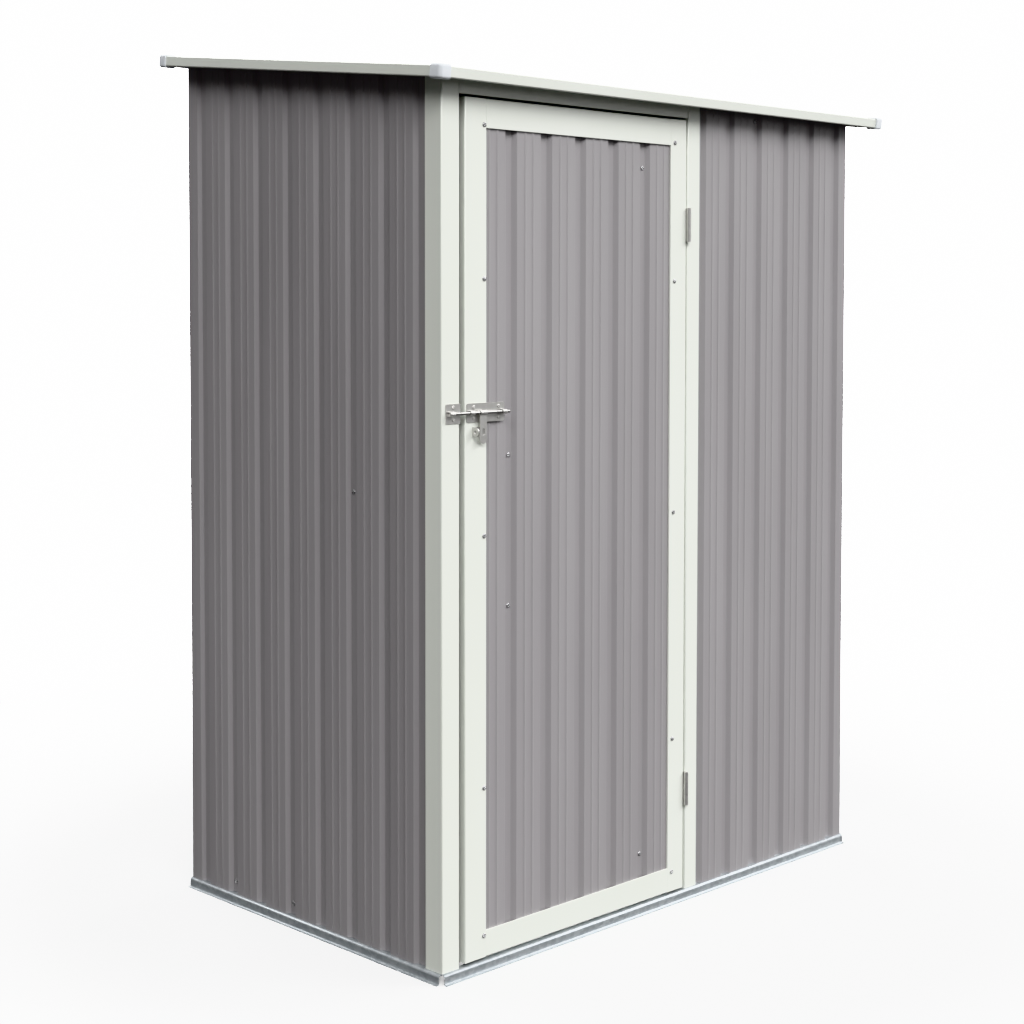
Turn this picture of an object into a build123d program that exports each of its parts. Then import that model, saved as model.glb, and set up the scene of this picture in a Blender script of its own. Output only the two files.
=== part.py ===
from build123d import *
import math
import os

os.makedirs("parts", exist_ok=True)

# Walls, measured over the flat outer faces of the ribbed sheet
wall_width = 1320.0
wall_depth = 815.0
sheet = 0.8
frame_sheet = 1.2
fit = 0.2
sheet_bend = 2.5
frame_bend = 2.5
overrun = 200.0

# Ribbed sheet: wide flats outside, narrow dips between them
rib_pitch = 100.0
rib_floor = 17.0
rib_run = 8.0
rib_depth = 8.0
front_rib_inset = 4.5
door_rib_inset = 72.0
corner_flat = 40.0
back_corner_flat = 60.0
roof_edge_flat = 100.0
side_seam_rib = 2
seam_tail = 2.0

# Roof
roof_over_left = 44.0
roof_over_right = 82.0
roof_over_front = 44.0
roof_over_back = 42.0
roof_front_low = 1719.0
roof_rise = 104.0
trim_height = 22.0
trim_flange = 18.0
trim_return = 10.0
roof_edge_gap = 2.0
cap_size = 28.0
cap_wall = 3.2
cap_corner = 8.0

# Base rails
rail_out = 7.0
rail_lip = 6.0
ledge_height = 20.0
upstand_height = 48.0
shoulder_bend = 6.0
corner_setback = 1.0
doorway_margin = 11.0

# Posts and header
post_front = 47.0
post_side = 47.0
jamb_width = 41.0
header_step = 1.0

# Inner frame
top_rail_height = 34.0
top_rail_flange = 20.0
mid_rail_low = 911.0
mid_rail_height = 30.0
mid_rail_flange = 15.0
inner_gap = 4.0

# Door
latch_gap = 14.5
door_gap = 5.0
door_width = 661.5
door_top_drop = 24.0
door_thick = 22.0
latch_stile_width = 57.0
hinge_stile_width = 52.0
top_rail_width = 56.0
bottom_rail_width = 52.0
door_back_flange = 15.0
frame_hem = 3.8
brace_width = 28.0
brace_thick = 1.5
upper_brace_inset = 108.0
lower_brace_inset = 100.0
brace_middle_drop = 4.0
brace_middle_gap = 298.0

# Hinges
hinge_height = 73.0
upper_hinge_inset = 224.0
lower_hinge_inset = 219.0
knuckle_radius = 5.0
pin_radius = 2.5
pin_fit = 0.3
leaf_thick = 1.5
leaf_reach = 18.0

# Bolt
bolt_level = 1093.0
bolt_plate_inset = 3.0
bolt_plate_width = 102.0
bolt_plate_height = 37.0
bolt_plate_corner = 4.0
hardware_sheet = 1.5
rod_radius = 3.0
rod_fit = 0.4
rod_stand = 8.5
rod_tip_gap = 2.0
rod_tail = 7.3
rod_chamfer = 1.0
strap_width = 11.0
strap_inset = 2.0
strap_sheet = 1.2
arm_gap = 10.3
arm_width = 18.0
arm_end_radius = 10.0
arm_collar_radius = 4.8
arm_thick = 2.5
arm_drop = 60.0
arm_hole_drop = 37.0
arm_hole_width = 7.0
arm_hole_height = 13.0
ear_gap = 3.2
ear_thick = 2.0
ear_reach = 18.0
ear_drop = 37.0
ear_height = 18.0
ear_hole_radius = 3.5
tab_width = 14.0
tab_shift = 6.0
keeper_left = 10.0
keeper_width = 38.0
keeper_height = 38.0
keeper_corner = 2.0
staple_inset = 3.0
staple_width = 13.0

# Placing: the roof is centred on the origin in plan
roof_width = wall_width + roof_over_left + roof_over_right
roof_run = wall_depth + roof_over_front + roof_over_back
roof_slope = math.atan2(roof_rise, roof_run)
roof_length = math.hypot(roof_run, roof_rise)
left = roof_over_left - roof_width / 2
right = left + wall_width
front = roof_over_front - roof_run / 2
back = front + wall_depth
wall_middle = Vector((left + right) / 2, (front + back) / 2, 0)
rib_top = rib_floor + 2 * rib_run
lap_depth = rib_depth - sheet - fit
wall_back = rib_depth + sheet + fit
inner_margin = wall_back + frame_sheet + inner_gap
door_sheet_depth = frame_hem + fit
door_left = post_front + latch_gap
door_right = door_left + door_width
door_low = ledge_height + door_gap
door_top = roof_front_low - door_top_drop
brace_middle = (door_low + door_top) / 2 - brace_middle_drop
jamb_left = door_right + door_gap
jamb_right = jamb_left + jamb_width
header_low = door_top + door_gap
hinge_axis_x = (door_right + jamb_left) / 2
hinge_axis_y = -knuckle_radius - pin_fit
upper_hinge_level = door_top - upper_hinge_inset
lower_hinge_level = door_low + lower_hinge_inset
bolt_plate_left = door_left + bolt_plate_inset
bolt_plate_right = bolt_plate_left + bolt_plate_width
ear_left = bolt_plate_left + strap_inset + strap_width + ear_gap
arm_left = ear_left + ear_thick + arm_gap
arm_middle = arm_left + arm_width / 2
tab_middle = arm_middle + tab_shift
staple_left = keeper_left + staple_inset
rod_tip = staple_left + staple_width + rod_tip_gap
rod_length = bolt_plate_right + rod_tail - rod_tip

# Directions and planes
up = Vector(0, 0, 1)
along_x = Vector(1, 0, 0)
along_y = Vector(0, 1, 0)
down_slope = Vector(0, -math.cos(roof_slope), -math.sin(roof_slope))
roof_normal = Vector(0, -math.sin(roof_slope), math.cos(roof_slope))
roof_mid = up * (roof_front_low + roof_rise / 2 + trim_height / 2 * math.cos(roof_slope))
roof_sheet_level = trim_height / 2 - frame_sheet - fit
roof_under_level = roof_sheet_level - rib_depth - sheet - fit
roof_under = Plane(origin=roof_mid + roof_normal * roof_under_level, x_dir=along_x, z_dir=roof_normal)
front_wall_plane = Plane(origin=(left, front, 0), x_dir=along_x, z_dir=up)
right_wall_plane = Plane(origin=(right, front, 0), x_dir=along_y, z_dir=up)
back_wall_plane = Plane(origin=(right, back, 0), x_dir=-along_x, z_dir=up)
left_wall_plane = Plane(origin=(left, back, 0), x_dir=-along_y, z_dir=up)
front_face = Plane(origin=(left, front, 0), x_dir=along_x, z_dir=-along_y)
front_side = Plane(origin=wall_middle - along_y * wall_depth / 2, x_dir=-along_y, z_dir=-along_x)
back_side = Plane(origin=wall_middle + along_y * wall_depth / 2, x_dir=along_y, z_dir=along_x)
left_side = Plane(origin=wall_middle - along_x * wall_width / 2, x_dir=-along_x, z_dir=along_y)
right_side = Plane(origin=wall_middle + along_x * wall_width / 2, x_dir=along_x, z_dir=-along_y)
roof_front_side = Plane(origin=roof_mid + down_slope * roof_length / 2, x_dir=down_slope, z_dir=-along_x)
roof_back_side = Plane(origin=roof_mid - down_slope * roof_length / 2, x_dir=-down_slope, z_dir=along_x)
roof_left_side = Plane(origin=roof_mid - along_x * roof_width / 2, x_dir=-along_x, z_dir=-down_slope)
roof_right_side = Plane(origin=roof_mid + along_x * roof_width / 2, x_dir=along_x, z_dir=down_slope)


# One folded strip: the outer face follows the points, the gauge lies to their left
def strip(plane, points, bend, gauge):
    with BuildSketch(plane) as section:
        with BuildLine():
            FilletPolyline(*points, radius=bend)
            offset(amount=gauge, side=Side.LEFT)
        make_face()
    return section.sketch


# Dip centres: a row from the first place, and a row about a middle
def rib_row(first, last):
    return [first + rib_pitch * k for k in range(1 + int((last - first) // rib_pitch))]


def centred_ribs(middle, room):
    half = rib_pitch * (room // rib_pitch) / 2
    return rib_row(middle - half, middle + half + rib_floor)


def dips(centres):
    points = []
    for centre in centres:
        points += [(centre - rib_top / 2, 0), (centre - rib_floor / 2, rib_depth)]
        points += [(centre + rib_floor / 2, rib_depth), (centre + rib_top / 2, 0)]
    return points


# Sheet ends: one sheet runs under its neighbour in a dip, the other laps over it
def under_start(centre, tail):
    points = [(centre - rib_floor / 2 - tail, rib_depth), (centre + rib_floor / 2, rib_depth)]
    return points + [(centre + rib_top / 2, 0)]


def under_finish(centre, tail):
    points = [(centre - rib_top / 2, 0), (centre - rib_floor / 2, rib_depth)]
    return points + [(centre + rib_floor / 2 + tail, rib_depth)]


def over_start(centre):
    foot = centre + rib_top / 2 - rib_run * lap_depth / rib_depth
    return [(centre - rib_floor / 2 + sheet, lap_depth), (foot, lap_depth), (centre + rib_top / 2, 0)]


def over_finish(centre):
    foot = centre - rib_top / 2 + rib_run * lap_depth / rib_depth
    return [(centre - rib_top / 2, 0), (foot, lap_depth), (centre + rib_floor / 2 - sheet, lap_depth)]


# A wall sheet stands on the base ledge and is cut off under the roof
def wall_sheet(plane, points):
    section = strip(plane.offset(ledge_height + fit), points, sheet_bend, sheet)
    extrude(section, amount=roof_front_low + roof_rise + overrun)
    split(bisect_by=roof_under, keep=Keep.BOTTOM)


def post(points):
    section = strip(front_wall_plane.offset(ledge_height + fit), points, frame_bend, frame_sheet)
    extrude(section, amount=roof_front_low + overrun)
    split(bisect_by=roof_under, keep=Keep.BOTTOM)


# Mitre both ends of a bar that is drawn across the plane
def mitre(plane, half_length):
    for end in (plane.z_dir, -plane.z_dir):
        corner = plane.origin + end * (half_length - fit / 2)
        split(bisect_by=Plane(origin=corner, z_dir=end - plane.x_dir), keep=Keep.BOTTOM)


def base_rail(plane, length):
    points = [
        (rail_out + rail_lip, frame_sheet),
        (rail_out, frame_sheet),
        (rail_out, ledge_height),
        (-wall_back, ledge_height),
        (-wall_back, upstand_height),
    ]
    bends = (frame_bend, shoulder_bend, 0)
    extrude(strip(plane, points, bends, frame_sheet), amount=length / 2 + overrun, both=True)
    mitre(plane, length / 2)
    for end in (-1, 1):
        with BuildSketch(plane.offset(end * (length / 2 - corner_setback))) as outer_end:
            Rectangle(overrun, overrun, align=(Align.MIN, Align.CENTER))
        extrude(outer_end.sketch, amount=end * overrun, mode=Mode.SUBTRACT)


def roof_trim(plane, length):
    points = [
        (-trim_return, -trim_height / 2),
        (0, -trim_height / 2),
        (0, trim_height / 2),
        (-trim_flange, trim_height / 2),
    ]
    extrude(strip(plane, points, frame_bend, frame_sheet), amount=length / 2 + overrun, both=True)
    mitre(plane, length / 2)


# An angle with its flat leg inward, drawn across the plane
def angle_rail(plane, low, high, flange, half_length):
    points = [(-wall_back - flange, low), (-wall_back, low), (-wall_back, high)]
    extrude(strip(plane, points, frame_bend, frame_sheet), amount=half_length, both=True)


# Base rails
with BuildPart() as base_rail_front:
    base_rail(front_side, wall_width)
    with BuildSketch(front_face.offset(-wall_back + fit)) as doorway:
        with Locations((post_front - doorway_margin, ledge_height)):
            Rectangle(
                jamb_left - post_front + 2 * doorway_margin,
                overrun,
                align=(Align.MIN, Align.MIN),
            )
    extrude(doorway.sketch, amount=-overrun, mode=Mode.SUBTRACT)

with BuildPart() as base_rail_back:
    base_rail(back_side, wall_width)

with BuildPart() as base_rail_left:
    base_rail(left_side, wall_depth)

with BuildPart() as base_rail_right:
    base_rail(right_side, wall_depth)

# Wall sheets
side_ribs = rib_row(post_side + rib_top / 2, wall_depth - corner_flat)
left_ribs = [wall_depth - centre for centre in reversed(side_ribs)]
left_seam_rib = len(side_ribs) - 1 - side_seam_rib
back_ribs = centred_ribs(wall_width / 2, wall_width - 2 * back_corner_flat)
back_seam_rib = len(back_ribs) // 2
front_ribs = rib_row(jamb_right + front_rib_inset, wall_width - corner_flat)
door_ribs = rib_row(
    door_left + latch_stile_width + door_rib_inset, door_right - hinge_stile_width - rib_top
)
roof_ribs = centred_ribs(0, roof_width - 2 * roof_edge_flat)
roof_seam_rib = len(roof_ribs) // 2
front_tail = side_ribs[0] - rib_floor / 2 - inner_margin
rear_tail = wall_depth - side_ribs[-1] - rib_floor / 2 - inner_margin

with BuildPart() as left_wall_rear:
    wall_sheet(
        left_wall_plane,
        under_start(left_ribs[0], rear_tail)
        + dips(left_ribs[1:left_seam_rib])
        + under_finish(left_ribs[left_seam_rib], seam_tail),
    )

with BuildPart() as left_wall_front:
    wall_sheet(
        left_wall_plane,
        over_start(left_ribs[left_seam_rib])
        + dips(left_ribs[left_seam_rib + 1 : -1])
        + under_finish(left_ribs[-1], front_tail),
    )

with BuildPart() as right_wall_front:
    wall_sheet(
        right_wall_plane,
        under_start(side_ribs[0], front_tail)
        + dips(side_ribs[1:side_seam_rib])
        + over_finish(side_ribs[side_seam_rib]),
    )

with BuildPart() as right_wall_rear:
    wall_sheet(
        right_wall_plane,
        under_start(side_ribs[side_seam_rib], seam_tail)
        + dips(side_ribs[side_seam_rib + 1 : -1])
        + under_finish(side_ribs[-1], rear_tail),
    )

# The back sheets fold round both back corners and lap over the side sheets
with BuildPart() as back_wall_right:
    corner = [(depth, wall_depth - place) for place, depth in over_start(side_ribs[-1])]
    wall_sheet(
        back_wall_plane,
        corner + [(0, 0)] + dips(back_ribs[:back_seam_rib]) + over_finish(back_ribs[back_seam_rib]),
    )

with BuildPart() as back_wall_left:
    corner = [(wall_width - depth, place) for place, depth in over_finish(left_ribs[0])]
    wall_sheet(
        back_wall_plane,
        under_start(back_ribs[back_seam_rib], seam_tail)
        + dips(back_ribs[back_seam_rib + 1 :])
        + [(wall_width, 0)]
        + corner,
    )

with BuildPart() as front_wall:
    corner = [(wall_width - depth, place) for place, depth in over_finish(side_ribs[0])]
    wall_sheet(
        front_wall_plane,
        under_start(front_ribs[0], front_ribs[0] - rib_floor / 2 - jamb_left - inner_margin)
        + dips(front_ribs[1:])
        + [(wall_width, 0)]
        + corner,
    )

# Posts and header round the doorway
with BuildPart() as latch_post:
    post_points = [
        (rib_depth - fit, post_side),
        (0, post_side),
        (0, 0),
        (post_front, 0),
        (post_front, rib_depth - fit),
    ]
    post(post_points)

with BuildPart() as hinge_jamb:
    post_points = [
        (jamb_left, door_thick),
        (jamb_left, 0),
        (jamb_right, 0),
        (jamb_right, rib_depth - fit),
    ]
    post(post_points)
    with BuildSketch(front_face.offset(-rib_depth)) as above_door:
        with Locations((jamb_left, header_low)):
            Rectangle(overrun, overrun, align=(Align.CENTER, Align.MIN))
    extrude(above_door.sketch, amount=-overrun, mode=Mode.SUBTRACT)

with BuildPart() as door_header:
    header_points = [
        (fit - rib_depth, header_low),
        (-header_step, header_low),
        (-header_step, header_low + overrun),
    ]
    header_plane = Plane(
        origin=(left + post_front + fit, front, 0), x_dir=-along_y, z_dir=-along_x
    )
    header_length = jamb_left - post_front - 2 * fit
    extrude(strip(header_plane, header_points, frame_sheet, frame_sheet), amount=-header_length)
    split(bisect_by=roof_under, keep=Keep.BOTTOM)

# Inner frame
wall_top = roof_under.origin.Z - roof_under.origin.Y * roof_rise / roof_run
front_rail_low = wall_top + front * roof_rise / roof_run - top_rail_height
back_rail_low = wall_top + back * roof_rise / roof_run - top_rail_height
side_rail_low = roof_under_level - top_rail_height
top_rail_half = wall_width / 2 - inner_margin
side_rail_half = wall_depth / 2 - wall_back - top_rail_flange - inner_margin

with BuildPart() as top_rail_front:
    angle_rail(front_side, front_rail_low, roof_front_low + overrun, top_rail_flange, top_rail_half)
    split(bisect_by=roof_under, keep=Keep.BOTTOM)

with BuildPart() as top_rail_back:
    back_rail_high = roof_front_low + roof_rise + overrun
    angle_rail(back_side, back_rail_low, back_rail_high, top_rail_flange, top_rail_half)
    split(bisect_by=roof_under, keep=Keep.BOTTOM)

side_shift = wall_middle.Y / math.cos(roof_slope)
left_rail_plane = Plane(
    origin=roof_mid - down_slope * side_shift + along_x * left, x_dir=-along_x, z_dir=-down_slope
)
right_rail_plane = Plane(
    origin=roof_mid - down_slope * side_shift + along_x * right, x_dir=along_x, z_dir=down_slope
)

with BuildPart() as top_rail_left:
    angle_rail(left_rail_plane, side_rail_low, roof_under_level, top_rail_flange, side_rail_half)

with BuildPart() as top_rail_right:
    angle_rail(right_rail_plane, side_rail_low, roof_under_level, top_rail_flange, side_rail_half)

mid_rail_high = mid_rail_low + mid_rail_height
mid_side_half = wall_depth / 2 - wall_back - mid_rail_flange - inner_margin

with BuildPart() as mid_rail_left:
    angle_rail(left_side, mid_rail_low, mid_rail_high, mid_rail_flange, mid_side_half)

with BuildPart() as mid_rail_right:
    angle_rail(right_side, mid_rail_low, mid_rail_high, mid_rail_flange, mid_side_half)

with BuildPart() as mid_rail_back:
    angle_rail(back_side, mid_rail_low, mid_rail_high, mid_rail_flange, top_rail_half)

# Roof sheets, trims and corner caps
roof_edge = roof_width / 2 - frame_sheet - roof_edge_gap
roof_half_length = roof_length / 2 - frame_sheet - roof_edge_gap
roof_section = Plane(
    origin=roof_mid + roof_normal * roof_sheet_level, x_dir=along_x, z_dir=-down_slope
)

with BuildPart() as roof_sheet_left:
    roof_points = [(-roof_edge, 0)] + dips(roof_ribs[:roof_seam_rib])
    roof_points += over_finish(roof_ribs[roof_seam_rib])
    extrude(strip(roof_section, roof_points, sheet_bend, sheet), amount=roof_half_length, both=True)

with BuildPart() as roof_sheet_right:
    roof_points = under_start(roof_ribs[roof_seam_rib], seam_tail) + dips(roof_ribs[roof_seam_rib + 1 :])
    roof_points += [(roof_edge, 0)]
    extrude(strip(roof_section, roof_points, sheet_bend, sheet), amount=roof_half_length, both=True)

with BuildPart() as roof_trim_front:
    roof_trim(roof_front_side, roof_width)

with BuildPart() as roof_trim_back:
    roof_trim(roof_back_side, roof_width)

with BuildPart() as roof_trim_left:
    roof_trim(roof_left_side, roof_length)

with BuildPart() as roof_trim_right:
    roof_trim(roof_right_side, roof_length)

with BuildPart() as roof_corner_caps:
    cap_plane = Plane(origin=roof_mid, x_dir=along_x, z_dir=roof_normal)
    cap_out = fit + cap_wall
    cap_half = trim_height / 2 + cap_out
    for side_x in (-1, 1):
        for side_y in (-1, 1):
            outer_x = side_x * (roof_width / 2 + cap_out)
            outer_y = side_y * (roof_length / 2 + cap_out)
            middle_x = outer_x - side_x * cap_size / 2
            middle_y = outer_y - side_y * cap_size / 2
            with BuildSketch(cap_plane) as cap_outline:
                with Locations((middle_x, middle_y)):
                    Rectangle(cap_size, cap_size)
                outer_corner = cap_outline.vertices().sort_by_distance(
                    cap_plane.from_local_coords(Vector(outer_x, outer_y, 0))
                )[0]
                fillet(outer_corner, radius=cap_corner)
            extrude(cap_outline.sketch, amount=cap_half, both=True)
            with BuildSketch(cap_plane) as cap_hollow:
                with Locations((middle_x - side_x * cap_wall, middle_y - side_y * cap_wall)):
                    Rectangle(cap_size, cap_size)
            extrude(cap_hollow.sketch, amount=cap_half - cap_wall, both=True, mode=Mode.SUBTRACT)

# Door frame and sheet
with BuildPart() as door_latch_stile:
    stile_points = [
        (door_left + door_back_flange, door_thick),
        (door_left, door_thick),
        (door_left, 0),
        (door_left + latch_stile_width, 0),
        (door_left + latch_stile_width, frame_hem),
    ]
    bends = (frame_bend, frame_bend, 0)
    stile_section = strip(front_wall_plane.offset(door_low), stile_points, bends, frame_sheet)
    extrude(stile_section, amount=door_top - door_low)

with BuildPart() as door_hinge_stile:
    stile_points = [
        (door_right - hinge_stile_width, frame_hem),
        (door_right - hinge_stile_width, 0),
        (door_right, 0),
        (door_right, door_thick),
        (door_right - door_back_flange, door_thick),
    ]
    bends = (0, frame_bend, frame_bend)
    stile_section = strip(front_wall_plane.offset(door_low), stile_points, bends, frame_sheet)
    extrude(stile_section, amount=door_top - door_low)

rail_start = door_left + latch_stile_width + fit
rail_length = door_right - hinge_stile_width - fit - rail_start
rail_plane = Plane(origin=(left + rail_start, front, 0), x_dir=-along_y, z_dir=-along_x)

with BuildPart() as door_bottom_rail:
    rail_points = [
        (-door_thick, door_low + door_back_flange),
        (-door_thick, door_low),
        (0, door_low),
        (0, door_low + bottom_rail_width),
        (-frame_hem, door_low + bottom_rail_width),
    ]
    bends = (frame_bend, frame_bend, 0)
    extrude(strip(rail_plane, rail_points, bends, frame_sheet), amount=-rail_length)

with BuildPart() as door_top_rail:
    rail_points = [
        (-frame_hem, door_top - top_rail_width),
        (0, door_top - top_rail_width),
        (0, door_top),
        (-door_thick, door_top),
        (-door_thick, door_top - door_back_flange),
    ]
    bends = (0, frame_bend, frame_bend)
    extrude(strip(rail_plane, rail_points, bends, frame_sheet), amount=-rail_length)

door_inset = frame_sheet + frame_bend
with BuildPart() as door_sheet:
    sheet_plane = Plane(
        origin=(left, front + door_sheet_depth, door_low + door_inset), x_dir=along_x, z_dir=up
    )
    sheet_points = [(door_left + door_inset, 0)] + dips(door_ribs) + [(door_right - door_inset, 0)]
    extrude(
        strip(sheet_plane, sheet_points, sheet_bend, sheet),
        amount=door_top - door_low - 2 * door_inset,
    )

# Flat braces behind the door sheet, screwed through its dips
brace_plane = front_face.offset(-door_sheet_depth - wall_back)


def brace(latch_level, hinge_level):
    with BuildSketch(brace_plane) as bar:
        with BuildLine():
            axis = Line((door_ribs[0], latch_level), (door_ribs[-1], hinge_level))
        trace(lines=axis, line_width=brace_width)
    extrude(bar.sketch, amount=-brace_thick)


with BuildPart() as door_brace_upper:
    brace(brace_middle + brace_middle_gap / 2, door_top - upper_brace_inset)

with BuildPart() as door_brace_lower:
    brace(brace_middle - brace_middle_gap / 2, door_low + lower_brace_inset)


# Hinges: three knuckles on one pin, the leaves stand in the gap beside the door
def hinge_leaf(level, side, knuckles):
    low = level - hinge_height / 2
    outer = hinge_axis_x + side * ((jamb_left - door_right) / 2 - fit)
    inner = outer - side * leaf_thick
    leaf_start = hinge_axis_y + knuckle_radius + pin_fit
    with BuildSketch(front_wall_plane.offset(low)) as leaf:
        with Locations(((outer + inner) / 2, leaf_start)):
            Rectangle(leaf_thick, leaf_reach, align=(Align.CENTER, Align.MIN))
    extrude(leaf.sketch, amount=hinge_height)
    step = hinge_height / 3
    for knuckle in knuckles:
        with BuildSketch(front_wall_plane.offset(low + step * knuckle + pin_fit)) as barrel:
            with Locations((hinge_axis_x, hinge_axis_y)):
                Circle(knuckle_radius)
            with Locations(((outer + inner) / 2, hinge_axis_y)):
                Rectangle(leaf_thick, leaf_reach, align=(Align.CENTER, Align.MIN))
        extrude(barrel.sketch, amount=step - 2 * pin_fit)


def hinge_pin(level, radius, mode):
    with BuildSketch(front_wall_plane.offset(level - hinge_height / 2)) as pin:
        with Locations((hinge_axis_x, hinge_axis_y)):
            Circle(radius)
    extrude(pin.sketch, amount=hinge_height, mode=mode)


with BuildPart() as upper_hinge_jamb_leaf:
    hinge_leaf(upper_hinge_level, 1, (0, 2))
    hinge_pin(upper_hinge_level, pin_radius, Mode.ADD)

with BuildPart() as upper_hinge_door_leaf:
    hinge_leaf(upper_hinge_level, -1, (1,))
    hinge_pin(upper_hinge_level, pin_radius + pin_fit, Mode.SUBTRACT)

with BuildPart() as lower_hinge_jamb_leaf:
    hinge_leaf(lower_hinge_level, 1, (0, 2))
    hinge_pin(lower_hinge_level, pin_radius, Mode.ADD)

with BuildPart() as lower_hinge_door_leaf:
    hinge_leaf(lower_hinge_level, -1, (1,))
    hinge_pin(lower_hinge_level, pin_radius + pin_fit, Mode.SUBTRACT)


# Bolt: plate with two straps and a padlock ear on the door, keeper on the post
def cross_plane(place):
    return Plane(origin=(left + place, front, bolt_level), x_dir=-along_y, z_dir=along_x)


def strap(place, width):
    inner = rod_radius + rod_fit
    with BuildSketch(cross_plane(place)) as loop:
        for radius, mode in ((inner + strap_sheet, Mode.ADD), (inner, Mode.SUBTRACT)):
            with Locations((rod_stand, 0)):
                Circle(radius, mode=mode)
            with Locations((hardware_sheet, 0)):
                Rectangle(
                    rod_stand - hardware_sheet,
                    2 * radius,
                    align=(Align.MIN, Align.CENTER),
                    mode=mode,
                )
    extrude(loop.sketch, amount=width)


with BuildPart() as bolt_plate:
    with BuildSketch(front_face) as plate_outline:
        with Locations((bolt_plate_left, bolt_level)):
            RectangleRounded(
                bolt_plate_width,
                bolt_plate_height,
                bolt_plate_corner,
                align=(Align.MIN, Align.CENTER),
            )
        with Locations((tab_middle, bolt_level)):
            Rectangle(tab_width, ear_drop + ear_height / 2, align=(Align.CENTER, Align.MAX))
        with Locations((ear_left, bolt_level - ear_drop)):
            Rectangle(tab_middle - ear_left, ear_height, align=(Align.MIN, Align.CENTER))
    extrude(plate_outline.sketch, amount=hardware_sheet)
    strap(bolt_plate_left + strap_inset, strap_width)
    strap(bolt_plate_right - strap_inset - strap_width, strap_width)
    with BuildSketch(cross_plane(ear_left)) as ear:
        with Locations((0, ear_drop)):
            Rectangle(ear_reach - ear_height / 2, ear_height, align=(Align.MIN, Align.CENTER))
        with Locations((ear_reach - ear_height / 2, ear_drop)):
            Circle(ear_height / 2)
            Circle(ear_hole_radius, mode=Mode.SUBTRACT)
    extrude(ear.sketch, amount=ear_thick)

with BuildPart() as bolt_keeper:
    with BuildSketch(front_face) as keeper_outline:
        with Locations((keeper_left + keeper_width / 2, bolt_level)):
            RectangleRounded(keeper_width, keeper_height, keeper_corner)
    extrude(keeper_outline.sketch, amount=hardware_sheet)
    strap(staple_left, staple_width)

with BuildPart() as bolt_rod:
    with BuildSketch(cross_plane(rod_tip)) as rod_section:
        with Locations((rod_stand, 0)):
            Circle(rod_radius)
    extrude(rod_section.sketch, amount=rod_length)
    rod_ends = bolt_rod.edges().filter_by(GeomType.CIRCLE)
    chamfer(rod_ends, length=rod_chamfer)

with BuildPart() as bolt_arm:
    with BuildSketch(cross_plane(arm_left)) as collar:
        with Locations((rod_stand, 0)):
            Circle(arm_collar_radius)
    extrude(collar.sketch, amount=arm_width)
    with BuildSketch(front_face.offset(rod_stand - arm_thick / 2)) as tongue:
        with Locations((arm_middle, bolt_level)):
            Rectangle(arm_width, arm_drop - arm_end_radius, align=(Align.CENTER, Align.MAX))
        with Locations((arm_middle, bolt_level - arm_drop + arm_end_radius)):
            Circle(arm_end_radius)
        with Locations((arm_middle, bolt_level - arm_hole_drop)):
            SlotOverall(arm_hole_height, arm_hole_width, rotation=90, mode=Mode.SUBTRACT)
    extrude(tongue.sketch, amount=arm_thick)
    with BuildSketch(cross_plane(arm_left)) as bore:
        with Locations((rod_stand, 0)):
            Circle(rod_radius + rod_fit)
    extrude(bore.sketch, amount=arm_width, mode=Mode.SUBTRACT)

pieces = {
    "base_rail_front": base_rail_front,
    "base_rail_back": base_rail_back,
    "base_rail_left": base_rail_left,
    "base_rail_right": base_rail_right,
    "left_wall_front": left_wall_front,
    "left_wall_rear": left_wall_rear,
    "right_wall_front": right_wall_front,
    "right_wall_rear": right_wall_rear,
    "back_wall_left": back_wall_left,
    "back_wall_right": back_wall_right,
    "front_wall": front_wall,
    "latch_post": latch_post,
    "hinge_jamb": hinge_jamb,
    "door_header": door_header,
    "top_rail_front": top_rail_front,
    "top_rail_back": top_rail_back,
    "top_rail_left": top_rail_left,
    "top_rail_right": top_rail_right,
    "mid_rail_left": mid_rail_left,
    "mid_rail_right": mid_rail_right,
    "mid_rail_back": mid_rail_back,
    "roof_sheet_left": roof_sheet_left,
    "roof_sheet_right": roof_sheet_right,
    "roof_trim_front": roof_trim_front,
    "roof_trim_back": roof_trim_back,
    "roof_trim_left": roof_trim_left,
    "roof_trim_right": roof_trim_right,
    "roof_corner_caps": roof_corner_caps,
    "door_sheet": door_sheet,
    "door_latch_stile": door_latch_stile,
    "door_hinge_stile": door_hinge_stile,
    "door_top_rail": door_top_rail,
    "door_bottom_rail": door_bottom_rail,
    "door_brace_upper": door_brace_upper,
    "door_brace_lower": door_brace_lower,
    "upper_hinge_jamb_leaf": upper_hinge_jamb_leaf,
    "upper_hinge_door_leaf": upper_hinge_door_leaf,
    "lower_hinge_jamb_leaf": lower_hinge_jamb_leaf,
    "lower_hinge_door_leaf": lower_hinge_door_leaf,
    "bolt_plate": bolt_plate,
    "bolt_keeper": bolt_keeper,
    "bolt_rod": bolt_rod,
    "bolt_arm": bolt_arm,
}
for name, piece in pieces.items():
    piece.part.label = name
    export_step(piece.part, f"parts/{name}.step")
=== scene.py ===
import math

import bpy
from mathutils import Matrix, Vector, noise


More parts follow.
